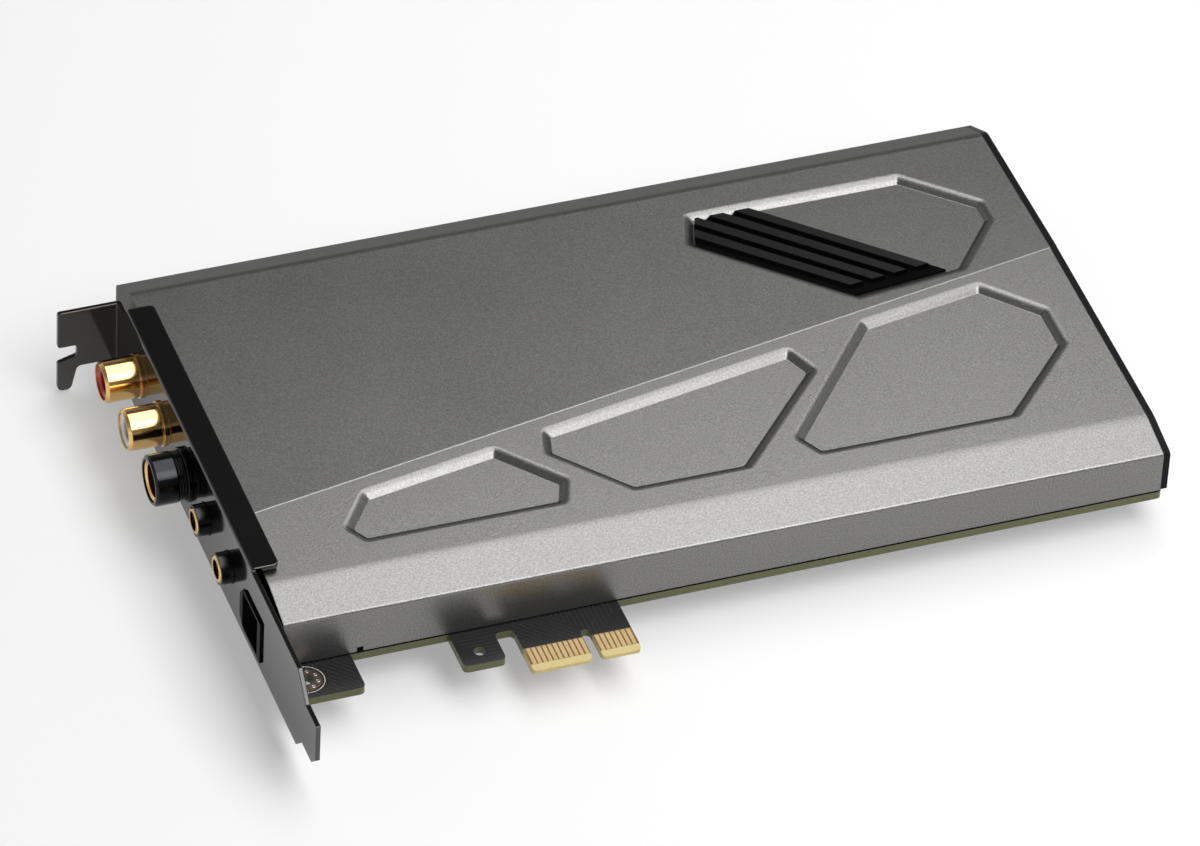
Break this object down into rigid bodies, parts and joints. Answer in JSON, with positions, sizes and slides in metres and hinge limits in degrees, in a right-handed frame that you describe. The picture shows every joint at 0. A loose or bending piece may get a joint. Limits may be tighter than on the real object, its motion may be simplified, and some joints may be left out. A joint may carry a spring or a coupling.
{
  "type": "sound card",
  "caption": "Plug-in sound card with a faceted grey metal cover, black slot bracket, phono, headphone, line and optical jacks and a short gold edge connector.",
  "frame": {"origin": "middle of the key notch, at the edge connector's lower edge, half way through the board", "axes": "+X along the card from the bracket to the far end, +Y from the edge connector to the upper edge, +Z square to the board, towards the cover"},
  "size_m": [0.1846, 0.1275, 0.0214],
  "materials": {
    "black_nickel": "glossy black nickel plating",
    "blasted_aluminium": "fine bead-blasted, anodised grey",
    "black_moulding": "satin black",
    "board_mask": "near-black solder mask, olive edges",
    "gold": "polished gold plating",
    "red_plastic": "glossy",
    "white_plastic": "glossy",
    "black_metal": "satin black",
    "steel": "plain",
    "lens": "clear red",
    "can": "plain can",
    "chip": "moulded epoxy",
    "relay_case": "off-white"
  },
  "bodies": {
    "root": {"bracket": "black_nickel", "cover": "blasted_aluminium", "end_cap": "black_moulding", "ribbed_insert": "black_moulding", "circuit_board": "board_mask", "edge_contacts": "gold", "cover_screws": "black_metal", "headphone_sleeve": "gold", "headphone_nut": "black_metal", "headphone_lock_ring": "black_metal", "headphone_body": "black_moulding", "headphone_springs": "gold", "optical_housing": "black_moulding", "optical_emitter": "lens", "power_connector": "black_moulding", "front_panel_header": "black_moulding", "header_pins": "gold", "right_phono_shell": "gold", "right_phono_insulator": "red_plastic", "right_phono_contact": "gold", "right_phono_body": "black_moulding", "left_phono_shell": "gold", "left_phono_insulator": "white_plastic", "left_phono_contact": "gold", "left_phono_body": "black_moulding", "line_jack_body": "black_moulding", "line_jack_rim": "gold", "microphone_jack_body": "black_moulding", "microphone_jack_rim": "gold", "amplifier_socket_1": "black_moulding", "amplifier_1": "chip", "amplifier_socket_2": "black_moulding", "amplifier_2": "chip", "amplifier_socket_3": "black_moulding", "amplifier_3": "chip", "amplifier_socket_4": "black_moulding", "amplifier_4": "chip", "capacitor_1": "can", "capacitor_2": "can", "capacitor_3": "can", "capacitor_4": "can", "capacitor_5": "can", "capacitor_6": "can", "capacitor_7": "can", "capacitor_8": "can", "output_relay_1": "relay_case", "clock_oscillator_1": "steel", "inductor_1": "chip", "regulator_1": "chip", "output_relay_2": "relay_case", "clock_oscillator_2": "steel", "inductor_2": "chip", "regulator_2": "chip", "playback_converter": "chip", "capture_converter": "chip", "headphone_driver": "chip", "bus_interface_chip": "chip", "audio_processor": "chip", "memory_chip": "chip"}
  },
  "joints": []
}
